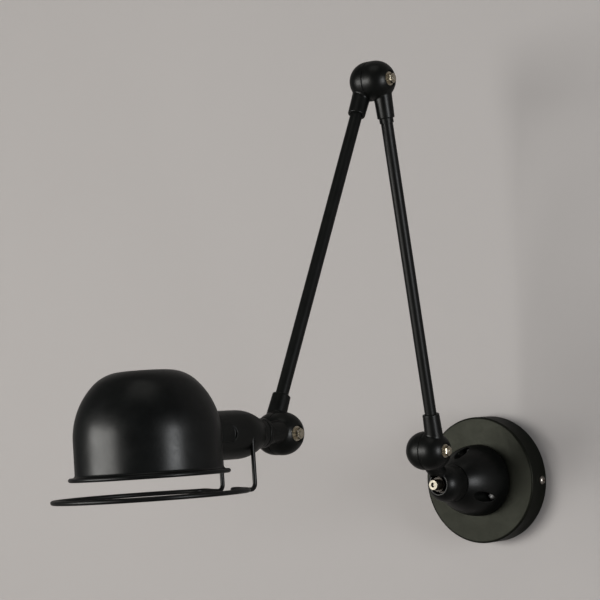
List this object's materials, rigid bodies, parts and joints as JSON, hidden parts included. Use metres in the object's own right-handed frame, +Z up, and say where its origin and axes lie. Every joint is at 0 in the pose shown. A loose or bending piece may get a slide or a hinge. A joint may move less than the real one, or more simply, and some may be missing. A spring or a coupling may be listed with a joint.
{
  "type": "articulated wall lamp",
  "caption": "Wall lamp with a swivel base, jointed arms on round knuckles, and a black metal dome shade with a wire guard ring under its rim.",
  "frame": {"origin": "centre of the canopy's wall face, where the bracket is screwed to the wall", "axes": "+X to the right along the bracket and the knuckle bolts, +Y into the wall, +Z up"},
  "size_m": [0.1548, 0.5659, 0.4406],
  "materials": {
    "black_castings": "satin",
    "black_tube": "satin",
    "black_canopy": "satin",
    "black_shade": "satin",
    "black_guard": "satin",
    "nickel_hardware": "satin",
    "dark_plating": "satin",
    "bright_screws": "satin",
    "zinc_steel": "satin",
    "terminal_plastic": "matte",
    "contact_plastic": "matte",
    "contact_brass": "satin",
    "lead_insulation": "matte",
    "white_ceramic": "gloss",
    "bulb_cap_metal": "satin",
    "frosted_glass": "satin"
  },
  "bodies": {
    "wall_base": {"wall_bracket": "zinc_steel", "earth_screw": "bright_screws", "terminal_block": "terminal_plastic", "terminal_screws": "bright_screws", "canopy": "black_canopy", "canopy_side_screws": "bright_screws", "base_bell": "black_castings", "bell_screws": "bright_screws", "bell_nuts": "bright_screws", "swivel_stud": "nickel_hardware", "swivel_washer": "dark_plating", "swivel_nut": "dark_plating", "swivel_ring_disc": "contact_plastic", "swivel_contact_rings": "contact_brass"},
    "lower_elbow": {"lower_elbow": "black_castings", "swivel_brush_disc": "contact_plastic", "swivel_brushes": "contact_brass", "lower_knuckle_bolt": "nickel_hardware", "lower_knuckle_washer": "nickel_hardware", "lower_knuckle_nut": "nickel_hardware", "lower_knuckle_ring_disc": "contact_plastic", "lower_knuckle_contact_rings": "contact_brass"},
    "lower_arm": {"lower_arm_bottom_half": "black_castings", "lower_arm_tube": "black_tube", "lower_arm_leads": "lead_insulation", "lower_arm_ferrule": "black_tube", "lower_arm_top_half": "black_castings", "lower_knuckle_brush_disc": "contact_plastic", "lower_knuckle_brushes": "contact_brass", "middle_knuckle_brush_disc": "contact_plastic", "middle_knuckle_brushes": "contact_brass"},
    "upper_arm": {"upper_arm_top_half": "black_castings", "upper_arm_tube": "black_tube", "upper_arm_leads": "lead_insulation", "upper_arm_bottom_half": "black_castings", "middle_knuckle_bolt": "nickel_hardware", "middle_knuckle_washer": "nickel_hardware", "middle_knuckle_nut": "nickel_hardware", "middle_knuckle_ring_disc": "contact_plastic", "middle_knuckle_contact_rings": "contact_brass", "head_knuckle_bolt": "nickel_hardware", "head_knuckle_washer": "nickel_hardware", "head_knuckle_nut": "nickel_hardware", "head_knuckle_ring_disc": "contact_plastic", "head_knuckle_contact_rings": "contact_brass"},
    "head_elbow": {"head_elbow": "black_castings", "head_knuckle_brush_disc": "contact_plastic", "head_knuckle_brushes": "contact_brass"},
    "head": {"pivot_tube": "zinc_steel", "pivot_nut": "zinc_steel", "lamp_housing": "black_castings", "socket_body": "white_ceramic", "socket_shell": "contact_brass", "socket_contact": "contact_brass", "bulb_cap": "bulb_cap_metal", "bulb_glass": "frosted_glass", "clamp_ring": "zinc_steel", "shade": "black_shade", "guard_rod": "black_guard"}
  },
  "joints": [
    {"name": "base_swivel", "type": "hinge", "parent": "wall_base", "child": "lower_elbow", "pos_m": [0, -0.068, 0], "axis": [0, -1, 0], "range_deg": [-150, 150]},
    {"name": "lower_knuckle", "type": "hinge", "parent": "lower_elbow", "child": "lower_arm", "pos_m": [0.0075, -0.1166, 0.0323], "axis": [1, 0, 0], "range_deg": [-27, 100]},
    {"name": "middle_knuckle", "type": "hinge", "parent": "lower_arm", "child": "upper_arm", "pos_m": [0.0075, -0.18687, 0.36291], "axis": [-1, 0, 0], "range_deg": [-22, 143]},
    {"name": "head_knuckle", "type": "hinge", "parent": "upper_arm", "child": "head_elbow", "pos_m": [0.0075, -0.32892, 0.05621], "axis": [1, 0, 0], "range_deg": [-70, 130]},
    {"name": "head_turn", "type": "hinge", "parent": "head_elbow", "child": "head", "pos_m": [0.0164, -0.36422, 0.05781], "axis": [0, -1, 0], "range_deg": [-150, 150]}
  ]
}
